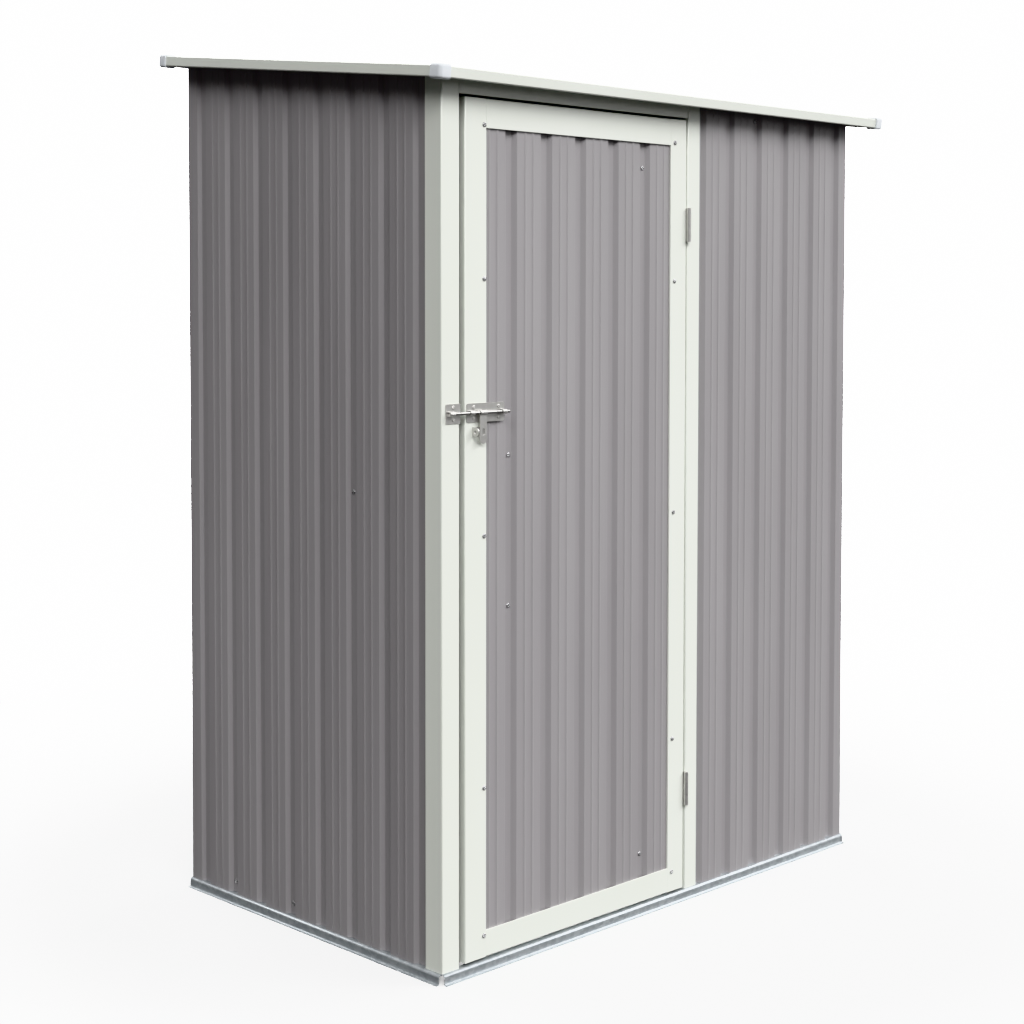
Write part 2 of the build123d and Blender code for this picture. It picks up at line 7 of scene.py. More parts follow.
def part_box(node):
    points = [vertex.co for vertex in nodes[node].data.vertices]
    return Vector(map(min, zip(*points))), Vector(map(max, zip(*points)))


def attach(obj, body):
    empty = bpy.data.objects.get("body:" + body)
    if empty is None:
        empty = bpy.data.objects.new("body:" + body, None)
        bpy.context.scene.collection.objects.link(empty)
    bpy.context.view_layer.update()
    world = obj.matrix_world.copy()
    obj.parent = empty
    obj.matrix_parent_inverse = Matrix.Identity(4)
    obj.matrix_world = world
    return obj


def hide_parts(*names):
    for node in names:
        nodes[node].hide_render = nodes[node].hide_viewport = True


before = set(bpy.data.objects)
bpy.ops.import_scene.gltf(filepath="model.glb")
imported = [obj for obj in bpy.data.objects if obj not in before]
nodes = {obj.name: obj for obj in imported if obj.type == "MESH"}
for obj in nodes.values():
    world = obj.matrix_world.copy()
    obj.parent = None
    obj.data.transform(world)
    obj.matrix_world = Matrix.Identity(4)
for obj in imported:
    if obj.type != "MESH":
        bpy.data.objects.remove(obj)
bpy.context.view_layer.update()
print("frame loaded,", len(nodes), "nodes")


# finishes

def shade(red, green, blue):
    # screen values 0-255 to the linear colour a shader takes
    linear = []
    for part in (red, green, blue):
        c = part / 255
        linear.append(c / 12.92 if c <= 0.04045 else ((c + 0.055) / 1.055) ** 2.4)
    return (*linear, 1.0)


greyPaint = {
    "name": "greySheetPaint", "colour": (157, 154, 156), "other": (151, 148, 150),
    "metal": 0.0, "rough": (0.36, 0.50), "coat": 0.25, "coatRough": 0.30,
    "blotch": (5.0, 5.0, 1.1), "fine": 420.0, "bump": 0.012,
}
whitePaint = {
    "name": "whiteFramePaint", "colour": (231, 234, 227), "other": (227, 230, 222),
    "metal": 0.0, "rough": (0.34, 0.46), "coat": 0.25, "coatRough": 0.25,
    "blotch": (4.0, 4.0, 1.5), "fine": 420.0, "bump": 0.010,
}
galvanised = {
    "name": "galvanisedSteel", "colour": (192, 197, 200), "other": (178, 184, 188),
    "metal": 0.65, "rough": (0.34, 0.50), "coat": 0.0, "coatRough": 0.3,
    "blotch": (120.0, 120.0, 120.0), "fine": 260.0, "bump": 0.03,
}
zincPlate = {
    "name": "zincPlate", "colour": (214, 213, 210), "other": (205, 204, 201),
    "metal": 0.75, "rough": (0.30, 0.40), "coat": 0.0, "coatRough": 0.3,
    "blotch": (90.0, 90.0, 90.0), "fine": 600.0, "bump": 0.008,
}
rodSteel = {
    "name": "rodSteel", "colour": (168, 167, 165), "other": (150, 149, 148),
    "metal": 0.9, "rough": (0.26, 0.36), "coat": 0.0, "coatRough": 0.3,
    "blotch": (120.0, 120.0, 120.0), "fine": 600.0, "bump": 0.01,
}
screwSteel = {
    "name": "screwSteel", "colour": (188, 188, 189), "other": (170, 170, 171),
    "metal": 0.9, "rough": (0.22, 0.34), "coat": 0.0, "coatRough": 0.3,
    "blotch": (150.0, 150.0, 150.0), "fine": 700.0, "bump": 0.02,
}
capPlastic = {
    "name": "capPlastic", "colour": (232, 236, 240), "other": (224, 228, 233),
    "metal": 0.0, "rough": (0.38, 0.48), "coat": 0.0, "coatRough": 0.3,
    "blotch": (30.0, 30.0, 30.0), "fine": 700.0, "bump": 0.02,
}


finishForm = {"darkEnd": 0.3, "paleEnd": 0.7, "cloudDetail": 4.0, "peelDetail": 2.0, "peelHeight": 0.001}


def makeFinish(values):
    form = finishForm
    finish = bpy.data.materials.new(values["name"])
    finish.use_nodes = True
    tree = finish.node_tree
    tree.nodes.clear()
    output = tree.nodes.new("ShaderNodeOutputMaterial")
    skin = tree.nodes.new("ShaderNodeBsdfPrincipled")
    tree.links.new(skin.outputs["BSDF"], output.inputs["Surface"])
    skin.inputs["Metallic"].default_value = values["metal"]
    skin.inputs["Coat Weight"].default_value = values["coat"]
    skin.inputs["Coat Roughness"].default_value = values["coatRough"]

    place = tree.nodes.new("ShaderNodeTexCoord")
    stretch = tree.nodes.new("ShaderNodeMapping")
    stretch.inputs["Scale"].default_value = values["blotch"]
    tree.links.new(place.outputs["Object"], stretch.inputs["Vector"])

    # slow unevenness of the colour: cells on galvanised steel, soft clouds on the rest
    if values["name"] == "galvanisedSteel":
        cloud = tree.nodes.new("ShaderNodeTexVoronoi")
        cloud.inputs["Scale"].default_value = 1.0
        cloudOut = cloud.outputs["Color"]
    else:
        cloud = tree.nodes.new("ShaderNodeTexNoise")
        cloud.inputs["Scale"].default_value = 1.0
        cloud.inputs["Detail"].default_value = form["cloudDetail"]
        cloudOut = cloud.outputs["Fac"]
    tree.links.new(stretch.outputs["Vector"], cloud.inputs["Vector"])
    ramp = tree.nodes.new("ShaderNodeValToRGB")
    ramp.color_ramp.elements[0].position = form["darkEnd"]
    ramp.color_ramp.elements[0].color = shade(*values["other"])
    ramp.color_ramp.elements[1].position = form["paleEnd"]
    ramp.color_ramp.elements[1].color = shade(*values["colour"])
    tree.links.new(cloudOut, ramp.inputs["Fac"])
    tree.links.new(ramp.outputs["Color"], skin.inputs["Base Color"])

    spread = tree.nodes.new("ShaderNodeMapRange")
    spread.inputs["To Min"].default_value = values["rough"][0]
    spread.inputs["To Max"].default_value = values["rough"][1]
    tree.links.new(cloudOut, spread.inputs["Value"])
    tree.links.new(spread.outputs["Result"], skin.inputs["Roughness"])

    # fine skin of the coat
    peel = tree.nodes.new("ShaderNodeTexNoise")
    peel.inputs["Scale"].default_value = values["fine"]
    peel.inputs["Detail"].default_value = form["peelDetail"]
    tree.links.new(place.outputs["Object"], peel.inputs["Vector"])
    lift = tree.nodes.new("ShaderNodeBump")
    lift.inputs["Strength"].default_value = values["bump"]
    lift.inputs["Distance"].default_value = form["peelHeight"]
    tree.links.new(peel.outputs["Fac"], lift.inputs["Height"])
    tree.links.new(lift.outputs["Normal"], skin.inputs["Normal"])
    return finish


sheetFinish = makeFinish(greyPaint)
frameFinish = makeFinish(whitePaint)
railFinish = makeFinish(galvanised)
hardwareFinish = makeFinish(zincPlate)
rodFinish = makeFinish(rodSteel)
screwFinish = makeFinish(screwSteel)
capFinish = makeFinish(capPlastic)
print("finishes made")


# mesh helpers

def addPiece(name, points, faces, finish, body, sharp=30):
    mesh = bpy.data.meshes.new(name)
    mesh.from_pydata([tuple(p) for p in points], [], faces)
    mesh.validate()
    mesh.shade_smooth()
    mesh.set_sharp_from_angle(angle=math.radians(sharp))
    mesh.materials.append(finish)
    piece = bpy.data.objects.new(name, mesh)
    bpy.context.scene.collection.objects.link(piece)
    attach(piece, body)
    return piece


def softStep(x):
    x = min(max(x, 0.0), 1.0)
    return x * x * (3 - 2 * x)


# ribbed sheet, drawn as a folded line and run up the wall

ribForm = {
    "pitch": 0.100, "floor": 0.017, "run": 0.008, "depth": 0.008,
    "gauge": 0.0008, "lapDepth": 0.0070,
    "bend": 0.0018, "bendSteps": 5,
    "fineAside": 0.0112, "fineHeight": 0.0016, "fineWidth": 0.008, "fineSteps": 8,
    "fineMargin": 0.003, "runOut": 0.04, "straightTurn": 1e-4, "flatDepth": 1e-7, "leastShare": 0.5,
    "rows": 30, "waviness": 0.0004, "wavesAlong": 7.0, "wavesUp": 1.6, "heldAlong": 0.06, "heldUp": 0.12,
}
ribTop = ribForm["floor"] + 2 * ribForm["run"]
halfFloor = ribForm["floor"] / 2
halfTop = ribTop / 2
ribDepth = ribForm["depth"]
lapDepth = ribForm["lapDepth"]


def dips(centres):
    line = []
    for c in centres:
        line += [(c - halfTop, 0), (c - halfFloor, ribDepth), (c + halfFloor, ribDepth), (c + halfTop, 0)]
    return line


def startUnder(c, tail):
    return [(c - halfFloor - tail, ribDepth), (c + halfFloor, ribDepth), (c + halfTop, 0)]


def endUnder(c, tail):
    return [(c - halfTop, 0), (c - halfFloor, ribDepth), (c + halfFloor + tail, ribDepth)]


def startOver(c):
    end = c - halfFloor + ribForm["gauge"]
    return [(end, lapDepth), (c + halfTop - lapDepth, lapDepth), (c + halfTop, 0)]


def endOver(c):
    end = c + halfFloor - ribForm["gauge"]
    return [(c - halfTop, 0), (c - halfTop + lapDepth, lapDepth), (end, lapDepth)]


def roundBends(line, radius, steps):
    line = [Vector(p) for p in line]
    smooth = [line[0]]
    for before, here, after in zip(line, line[1:], line[2:]):
        into = (here - before).normalized()
        out = (after - here).normalized()
        turn = into.angle_signed(out)
        if abs(turn) < ribForm["straightTurn"]:
            smooth.append(here)
            continue
        reach = radius * math.tan(abs(turn) / 2)
        side = 1 if into.cross(out) > 0 else -1
        centre = here - into * reach + Vector((-into.y, into.x)) * side * radius
        arm = here - into * reach - centre
        for k in range(steps + 1):
            a = side * abs(turn) * k / steps
            smooth.append(centre + Vector((
                arm.x * math.cos(a) - arm.y * math.sin(a), arm.x * math.sin(a) + arm.y * math.cos(a),
            )))
    smooth.append(line[-1])
    return smooth


def addFineLines(line, places):
    # two shallow raised lines on every outer flat
    form = ribForm
    fuller = [line[0]]
    for a, b in zip(line, line[1:]):
        flat = max(abs(a.y), abs(b.y)) < form["flatDepth"]
        if flat:
            for c in places:
                low, high = c - form["fineWidth"] / 2, c + form["fineWidth"] / 2
                if low > a.x + form["fineMargin"] and high < b.x - form["fineMargin"]:
                    for k in range(form["fineSteps"] + 1):
                        t = k / form["fineSteps"]
                        rise = form["fineHeight"] * (1 - math.cos(2 * math.pi * t)) / 2
                        fuller.append(Vector((low + (high - low) * t, -rise)))
        fuller.append(b)
    return fuller


def finePlaces(centres):
    first = centres[0] - ribForm["pitch"]
    middles = [first + ribForm["pitch"] * (k + 0.5) for k in range(len(centres) + 1)]
    return [m + s * ribForm["fineAside"] for m in middles for s in (-1, 1)]


def innerLine(line, gauge):
    inner = []
    for k, p in enumerate(line):
        before = (p - line[k - 1]).normalized() if k > 0 else None
        after = (line[k + 1] - p).normalized() if k + 1 < len(line) else None
        way = before or after
        if before and after:
            way = (before + after).normalized()
            gain = 1 / max(way.dot(before), ribForm["leastShare"])
        else:
            gain = 1.0
        inner.append(p + Vector((-way.y, way.x)) * gauge * gain)
    return inner


def ribbedSheet(name, node, line, ribs, side, body="shed"):
    form = ribForm
    outer = addFineLines(roundBends(line, form["bend"], form["bendSteps"]), finePlaces(ribs))
    inner = innerLine(outer, form["gauge"])
    count = len(outer)
    points, faces = [], []
    for skin in (outer, inner):
        for r in range(form["rows"] + 1):
            for p, face in zip(skin, outer):
                foot = side["origin"] + side["along"] * p.x + side["inward"] * p.y
                high = side["high"](foot)
                level = side["low"] + (high - side["low"]) * r / form["rows"]
                # sheet metal is never quite flat; it is held at its ends
                hold = softStep((p.x - side["from"]) / form["heldAlong"])
                hold *= softStep((side["to"] - p.x) / form["heldAlong"])
                hold *= softStep((level - side["low"]) / form["heldUp"])
                hold *= softStep((high - level) / form["heldUp"])
                across, upwards = p.x * form["wavesAlong"] + side["seed"], level * form["wavesUp"]
                sway = noise.noise(Vector((across, upwards, side["seed"])))
                # fine lines run out where trims, rails and frames hold the sheet
                runOut = softStep((level - side["low"]) / form["runOut"])
                runOut *= softStep((high - level) / form["runOut"])
                sink = max(0.0, -face.y) * (1 - runOut) + form["waviness"] * sway * hold
                points.append(foot + side["up"] * level + side["inward"] * sink)
    rowsUp = form["rows"]
    inside = count * (rowsUp + 1)
    for r in range(rowsUp):
        for k in range(count - 1):
            a = r * count + k
            faces.append((a, a + 1, a + 1 + count, a + count))
            faces.append((inside + a, inside + a + count, inside + a + 1 + count, inside + a + 1))
        a, b = r * count, r * count + count - 1
        faces.append((a, a + count, inside + a + count, inside + a))
        faces.append((b, inside + b, inside + b + count, b + count))
    top = rowsUp * count
    for k in range(count - 1):
        faces.append((k, inside + k, inside + k + 1, k + 1))
        faces.append((top + k, top + k + 1, inside + top + k + 1, inside + top + k))
    piece = addPiece(name, points, faces, sheetFinish, body)
    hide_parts(node)


# where the walls stand, read from the frame
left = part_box("left_wall_rear")[0].x
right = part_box("right_wall_rear")[1].x
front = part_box("front_wall")[0].y
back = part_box("back_wall_left")[1].y
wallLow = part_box("front_wall")[0].z
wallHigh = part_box("back_wall_left")[1].z
wallWidth, wallDepth = right - left, back - front
upright = Vector((0, 0, 1))
alongX = Vector((1, 0, 0))
alongY = Vector((0, 1, 0))

wallForm = {
    "roofRise": 0.104, "roofRun": 0.901,
    "firstSideRib": 0.0635, "sideRibs": 8, "sideSeam": 2,
    "firstBackRib": 0.060, "backRibs": 13, "backSeam": 6,
    "firstFrontRib": 0.7735, "frontRibs": 6,
    "frontTail": 0.0408, "rearTail": 0.0288, "jambTail": 0.0228, "seamTail": 0.002,
    "frontSeed": 1.5, "rightSeed": 7.5, "backSeed": 13.5, "leftSeed": 19.5,
}


def underRoof(p):
    return wallHigh + (p.y - back) * wallForm["roofRise"] / wallForm["roofRun"]


def wallSide(origin, along, inward, length, seed):
    return {
        "origin": Vector(origin), "along": along, "inward": inward, "up": upright,
        "low": wallLow, "high": underRoof, "from": 0.0, "to": length, "seed": seed,
    }


def ribRow(first, count):
    return [first + ribForm["pitch"] * k for k in range(count)]


def makeWalls():
    w = wallForm
    frontSide = wallSide((left, front, 0), alongX, alongY, wallWidth, w["frontSeed"])
    rightSide = wallSide((right, front, 0), alongY, -alongX, wallDepth, w["rightSeed"])
    backSide = wallSide((right, back, 0), -alongX, -alongY, wallWidth, w["backSeed"])
    leftSide = wallSide((left, back, 0), -alongY, alongX, wallDepth, w["leftSeed"])
    sideRow = ribRow(w["firstSideRib"], w["sideRibs"])
    leftRow = [wallDepth - c for c in reversed(sideRow)]
    seam, leftSeam = w["sideSeam"], w["sideRibs"] - 1 - w["sideSeam"]
    backRow = ribRow(w["firstBackRib"], w["backRibs"])
    frontRow = ribRow(w["firstFrontRib"], w["frontRibs"])

    line = startUnder(leftRow[0], w["rearTail"]) + dips(leftRow[1:leftSeam])
    line += endUnder(leftRow[leftSeam], w["seamTail"])
    ribbedSheet("leftWallRear", "left_wall_rear", line, leftRow, leftSide)
    line = startOver(leftRow[leftSeam]) + dips(leftRow[leftSeam + 1:-1])
    line += endUnder(leftRow[-1], w["frontTail"])
    ribbedSheet("leftWallFront", "left_wall_front", line, leftRow, leftSide)
    line = startUnder(sideRow[0], w["frontTail"]) + dips(sideRow[1:seam]) + endOver(sideRow[seam])
    ribbedSheet("rightWallFront", "right_wall_front", line, sideRow, rightSide)
    line = startUnder(sideRow[seam], w["seamTail"]) + dips(sideRow[seam + 1:-1])
    line += endUnder(sideRow[-1], w["rearTail"])
    ribbedSheet("rightWallRear", "right_wall_rear", line, sideRow, rightSide)
    # the back sheets and the front sheet fold round their corners
    line = [(depth, wallDepth - place) for place, depth in startOver(sideRow[-1])]
    line += [(0, 0)] + dips(backRow[:w["backSeam"]]) + endOver(backRow[w["backSeam"]])
    ribbedSheet("backWallRight", "back_wall_right", line, backRow, backSide)
    line = startUnder(backRow[w["backSeam"]], w["seamTail"]) + dips(backRow[w["backSeam"] + 1:])
    line += [(wallWidth, 0)] + [(wallWidth - depth, place) for place, depth in endOver(leftRow[0])]
    ribbedSheet("backWallLeft", "back_wall_left", line, backRow, backSide)
    line = startUnder(frontRow[0], w["jambTail"]) + dips(frontRow[1:])
    line += [(wallWidth, 0)] + [(wallWidth - depth, place) for place, depth in endOver(sideRow[0])]
    ribbedSheet("frontWall", "front_wall", line, frontRow, frontSide)


makeWalls()
print("wall sheets made")

doorForm = {"firstRib": 0.1905, "ribs": 5, "seed": 25.5}


def makeDoorSheet():
    low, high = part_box("door_sheet")
    side = {
        "origin": Vector((left, low.y, 0)), "along": alongX, "inward": alongY, "up": upright,
        "low": low.z, "high": lambda p: high.z, "from": low.x - left, "to": high.x - left,
        "seed": doorForm["seed"],
    }
    row = ribRow(doorForm["firstRib"], doorForm["ribs"])
    line = [(low.x - left, 0)] + dips(row) + [(high.x - left, 0)]
    ribbedSheet("doorSheet", "door_sheet", line, row, side, "door")


makeDoorSheet()
print("door sheet made")

roofForm = {"firstRib": -0.6, "ribs": 13, "seam": 6, "seamTail": 0.002, "seed": 31.5}
tilt = math.atan2(wallForm["roofRise"], wallForm["roofRun"])
upSlope = Vector((0, math.cos(tilt), math.sin(tilt)))
offSlope = Vector((0, -math.sin(tilt), math.cos(tilt)))


def makeRoofSheets():
    low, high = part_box("roof_sheet_left")
    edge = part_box("roof_sheet_right")[1].x
    # the sheet's own box gives its length: both ends are cut square to it
    thick = ribDepth + ribForm["gauge"]
    length = (high.y - low.y - thick * math.sin(tilt)) / math.cos(tilt)
    topFront = Vector((0, low.y, high.z - length * math.sin(tilt)))
    side = {
        "origin": topFront, "along": alongX, "inward": -offSlope, "up": upSlope,
        "low": 0.0, "high": lambda p: length, "from": -edge, "to": edge, "seed": roofForm["seed"],
    }
    row = ribRow(roofForm["firstRib"], roofForm["ribs"])
    seam = roofForm["seam"]
    line = [(low.x, 0)] + dips(row[:seam]) + endOver(row[seam])
    ribbedSheet("roofSheetLeft", "roof_sheet_left", line, row, side)
    line = startUnder(row[seam], roofForm["seamTail"]) + dips(row[seam + 1:]) + [(edge, 0)]
    ribbedSheet("roofSheetRight", "roof_sheet_right", line, row, side)


makeRoofSheets()
print("roof sheets made")


# folded frames, rails and hardware keep their solids and get their finish

frameNodes = [
    "latch_post", "hinge_jamb", "door_header", "roof_trim_front", "roof_trim_back", "roof_trim_left",
    "roof_trim_right", "door_latch_stile", "door_hinge_stile", "door_top_rail", "door_bottom_rail",
]
railNodes = [
    "base_rail_front", "base_rail_back", "base_rail_left", "base_rail_right",
    "top_rail_front", "top_rail_back", "top_rail_left", "top_rail_right",
    "mid_rail_left", "mid_rail_right", "mid_rail_back", "door_brace_upper", "door_brace_lower",
]
hardwareNodes = [
    "upper_hinge_jamb_leaf", "upper_hinge_door_leaf", "lower_hinge_jamb_leaf", "lower_hinge_door_leaf",
    "bolt_plate", "bolt_keeper", "bolt_arm",
]
edgeForm = {"frame": 0.0003, "rail": 0.0003, "hardware": 0.0004, "steps": 2, "angle": 40, "weld": 0.00002}


def dress(node, finish, edge):
    piece = nodes[node]
    piece.data.materials.clear()
    piece.data.materials.append(finish)
    if not edge:
        return
    weld = piece.modifiers.new("weld", "WELD")
    weld.merge_threshold = edgeForm["weld"]
    eased = piece.modifiers.new("easedEdges", "BEVEL")
    eased.width = edge
    eased.segments = edgeForm["steps"]
    eased.limit_method = "ANGLE"
    eased.angle_limit = math.radians(edgeForm["angle"])
    eased.harden_normals = True


for node in frameNodes:
    dress(node, frameFinish, edgeForm["frame"])
for node in railNodes:
    dress(node, railFinish, edgeForm["rail"])
# the hinge leaves keep the edges of their solids
for node in hardwareNodes:
    dress(node, hardwareFinish, 0.0 if "hinge" in node else edgeForm["hardware"])
dress("bolt_rod", rodFinish, edgeForm["hardware"])
print("frames, rails and hardware dressed")


# moulded caps on the roof's corners, hollow for the trims

capForm = {
    "size": 0.028, "half": 0.0144, "wall": 0.0032,
    "corner": 0.009, "edge": 0.0055, "innerRound": 0.0006, "arcSteps": 8,
    "arcShare": 0.9, "meeting": 0.0004, "sharp": 50,
}


def capOutline(size, setIn, corner):
    # two straight legs and the arc between them, measured in from the outer faces
    corner = min(corner, capForm["arcShare"] * (size - setIn))
    line = [(size, setIn)]
    for k in range(capForm["arcSteps"] + 1):
        a = math.radians(270 - 90 * k / capForm["arcSteps"])
        line.append((setIn + corner * (1 + math.cos(a)), setIn + corner * (1 + math.sin(a))))
    return line + [(setIn, size)]


def capSkin(setIn, corner, edge):
    # outlines stacked from the underside round the edge to the top
    size, half, steps = capForm["size"], capForm["half"] - setIn, capForm["arcSteps"]
    rise = [(size - capForm["meeting"], -half)]
    for k in range(steps + 1):
        a = math.pi / 2 * k / steps
        rise.append((setIn + edge * (1 - math.sin(a)), -half + edge * (1 - math.cos(a))))
    rows = rise + [(reach, -level) for reach, level in reversed(rise)]
    return [[(u, v, level) for u, v in capOutline(size, reach, corner)] for reach, level in rows]


def makeCaps():
    low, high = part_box("roof_corner_caps")
    middle = (low + high) / 2
    halfX = (high.x - low.x) / 2
    halfY = ((high.y - low.y) / 2 - capForm["half"] * math.sin(tilt)) / math.cos(tilt)
    outer = capSkin(0.0, capForm["corner"], capForm["edge"])
    inner = capSkin(capForm["wall"], capForm["innerRound"], capForm["innerRound"])
    across, rows = len(outer[0]), len(outer)
    points, faces = [], []
    for sideX in (-1, 1):
        for sideY in (-1, 1):
            start = len(points)
            for skin in (outer, inner):
                for row in skin:
                    for u, v, level in row:
                        spot = middle + alongX * sideX * (halfX - u) + upSlope * sideY * (halfY - v)
                        points.append(spot + offSlope * level)
            ring = []
            for r in range(rows - 1):
                for k in range(across - 1):
                    a = start + r * across + k
                    b = a + rows * across
                    ring.append((a, a + 1, a + 1 + across, a + across))
                    ring.append((b, b + across, b + 1 + across, b + 1))
                for k, flip in ((0, False), (across - 1, True)):
                    a = start + r * across + k
                    b = a + rows * across
                    end = (a, a + across, b + across, b)
                    ring.append(end[::-1] if flip else end)
            for r, flip in ((0, True), (rows - 1, False)):
                for k in range(across - 1):
                    a = start + r * across + k
                    b = a + rows * across
                    end = (a, a + 1, b + 1, b)
                    ring.append(end[::-1] if flip else end)
            # mirrored corners turn their faces over
            faces += ring if sideX * sideY > 0 else [face[::-1] for face in ring]
    caps = addPiece("roofCornerCaps", points, faces, capFinish, "shed", capForm["sharp"])
    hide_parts("roof_corner_caps")


makeCaps()
print("corner caps made")


# screws

screwForm = {
    "radius": 0.0048, "height": 0.0026, "rim": 0.0009, "segments": 32, "rings": 7,
    "crossLength": 0.0027, "crossWidth": 0.0007, "crossDepth": 0.0012, "crossEdge": 1.35, "crossFall": 0.5,
    "dome": 2.2, "seat": 0.0004, "sharp": 50, "turn": 37,
}
smallScrew = dict(
    screwForm, radius=0.0036, height=0.0018, rim=0.0005,
    crossLength=0.0021, crossWidth=0.0006, crossDepth=0.0008,
)


def screwHead(form):
    # domed head with a cross recess, its seat at zero and the dome towards +z
    points, faces = [], []
    n = form["segments"]
    rings = [k / form["rings"] for k in range(1, form["rings"] + 1)]

    def height(x, y, share):
        dome = form["rim"] + (form["height"] - form["rim"]) * math.sqrt(max(0.0, 1 - share ** form["dome"]))
        arm = min(
            max(abs(x) / form["crossLength"], abs(y) / form["crossWidth"]),
            max(abs(y) / form["crossLength"], abs(x) / form["crossWidth"]),
        )
        return dome - form["crossDepth"] * softStep((form["crossEdge"] - arm) / form["crossFall"])

    points.append(Vector((0, 0, height(0, 0, 0))))
    for share in rings:
        for k in range(n):
            a = 2 * math.pi * k / n
            x, y = share * form["radius"] * math.cos(a), share * form["radius"] * math.sin(a)
            points.append(Vector((x, y, height(x, y, share))))
    for k in range(n):
        a = 2 * math.pi * k / n
        points.append(Vector((form["radius"] * math.cos(a), form["radius"] * math.sin(a), -form["seat"])))
    for k in range(n):
        faces.append((0, 1 + k, 1 + (k + 1) % n))
    for ring in range(len(rings)):
        low, high = 1 + ring * n, 1 + (ring + 1) * n
        for k in range(n):
            m = (k + 1) % n
            faces.append((low + k, high + k, high + m, low + m))
    return points, faces


def screwGroup(name, form, spots, finish, body):
    # every spot gives the seat, the way the head looks and a turn of the cross
    points, faces = [], []
    headPoints, headFaces = screwHead(form)
    for seat, look, turn in spots:
        place = Matrix.Translation(seat) @ look.to_track_quat("Z", "Y").to_matrix().to_4x4()
        place = place @ Matrix.Rotation(math.radians(turn), 4, "Z")
        start = len(points)
        points += [place @ p for p in headPoints]
        faces += [tuple(start + i for i in face) for face in headFaces]
    addPiece(name, points, faces, finish, body, form["sharp"])


screwPlaces = {
    "stileLevels": (1.645, 1.350, 0.853, 0.360, 0.068), "latchStile": 0.113, "hingeStile": 0.684,
    "bracePlaces": ((0.5905, 1.587), (0.1905, 1.005), (0.1905, 0.707), (0.5905, 0.125)),
    "midLevel": 0.926, "baseLevel": 0.044, "sideDips": (4, 6), "frontDip": 0.9735, "frontLevel": 1.710,
    "backDips": (2, 4, 8, 10),
    "boltLevel": 1.093, "plateGauge": 0.0015, "plateScrews": (0.0835, 0.1505), "plateAside": 0.0107,
    "keeperScrew": 0.0295, "keeperAside": 0.012, "frontTurn": 20, "backTurn": 55,
}


def makeScrews():
    s = screwPlaces
    turn, step = 0, screwForm["turn"]
    toFront, toLeft = Vector((0, -1, 0)), Vector((-1, 0, 0))

    door = []
    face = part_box("door_latch_stile")[0].y
    for place in (s["latchStile"], s["hingeStile"]):
        for level in s["stileLevels"]:
            turn += step
            door.append((Vector((left + place, face, level)), toFront, turn))
    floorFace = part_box("door_sheet")[0].y + ribDepth
    for place, level in s["bracePlaces"]:
        turn += step
        door.append((Vector((left + place, floorFace, level)), toFront, turn))
    screwGroup("doorScrews", screwForm, door, screwFinish, "door")

    # the bolt's plate and keeper stand on the same face and share one gauge
    plateFace = face - s["plateGauge"]
    plate = []
    for place in s["plateScrews"]:
        for side in (-1, 1):
            turn += step
            seat = Vector((left + place, plateFace, s["boltLevel"] + side * s["plateAside"]))
            plate.append((seat, toFront, turn))
    screwGroup("boltPlateScrews", smallScrew, plate, hardwareFinish, "door")
    keeper = []
    for side in (-1, 1):
        turn += step
        seat = Vector((left + s["keeperScrew"], plateFace, s["boltLevel"] + side * s["keeperAside"]))
        keeper.append((seat, toFront, turn))
    screwGroup("keeperScrews", smallScrew, keeper, hardwareFinish, "shed")

    wall = []
    row = ribRow(wallForm["firstSideRib"], wallForm["sideRibs"])
    seamPlace = front + row[wallForm["sideSeam"]]
    for side, look in ((left, toLeft), (right, -toLeft)):
        floor = side - look.x * ribDepth
        turn += step
        wall.append((Vector((side - look.x * lapDepth, seamPlace, s["midLevel"])), look, turn))
        for k in s["sideDips"]:
            turn += step
            wall.append((Vector((floor, front + row[k], s["baseLevel"])), look, turn))
    wall.append((Vector((left + s["frontDip"], front + ribDepth, s["frontLevel"])), toFront, s["frontTurn"]))
    backRow = ribRow(wallForm["firstBackRib"], wallForm["backRibs"])
    for k in s["backDips"]:
        turn += step
        wall.append((Vector((right - backRow[k], back - ribDepth, s["baseLevel"])), -toFront, turn))
    seamSpot = Vector((right - backRow[wallForm["backSeam"]], back - lapDepth, s["midLevel"]))
    wall.append((seamSpot, -toFront, s["backTurn"]))
    screwGroup("wallScrews", screwForm, wall, screwFinish, "shed")


makeScrews()
print("screws made")


# camera, floor and light

cameraForm = {
    "place": (-2.994, -2.8790, 1.3064), "yaw": 43.871, "pitch": 2.4657,
    "lens": 63.234, "sensor": 36.0, "shiftX": 0.0458, "shiftY": -0.13,
}


def makeCamera():
    c = cameraForm
    data = bpy.data.cameras.new("camera")
    data.lens = c["lens"]
    data.sensor_width = c["sensor"]
    data.shift_x, data.shift_y = c["shiftX"], c["shiftY"]
    data.dof.use_dof = False
    camera = bpy.data.objects.new("camera", data)
    bpy.context.scene.collection.objects.link(camera)
    camera.location = c["place"]
    camera.rotation_euler = (math.radians(90 - c["pitch"]), 0, math.radians(-c["yaw"]))
    bpy.context.scene.camera = camera


floorForm = {
    "radius": 4.2, "segments": 96, "drop": 0.0005, "fadeFrom": 1.0, "fadeTo": 3.2, "solid": 0.965,
}
floorPaint = {
    "name": "paleFloor", "colour": (226, 226, 226), "other": (222, 222, 222),
    "metal": 0.0, "rough": (0.75, 0.85), "coat": 0.0, "coatRough": 0.3,
    "blotch": (1.5, 1.5, 1.5), "fine": 90.0, "bump": 0.02,
}


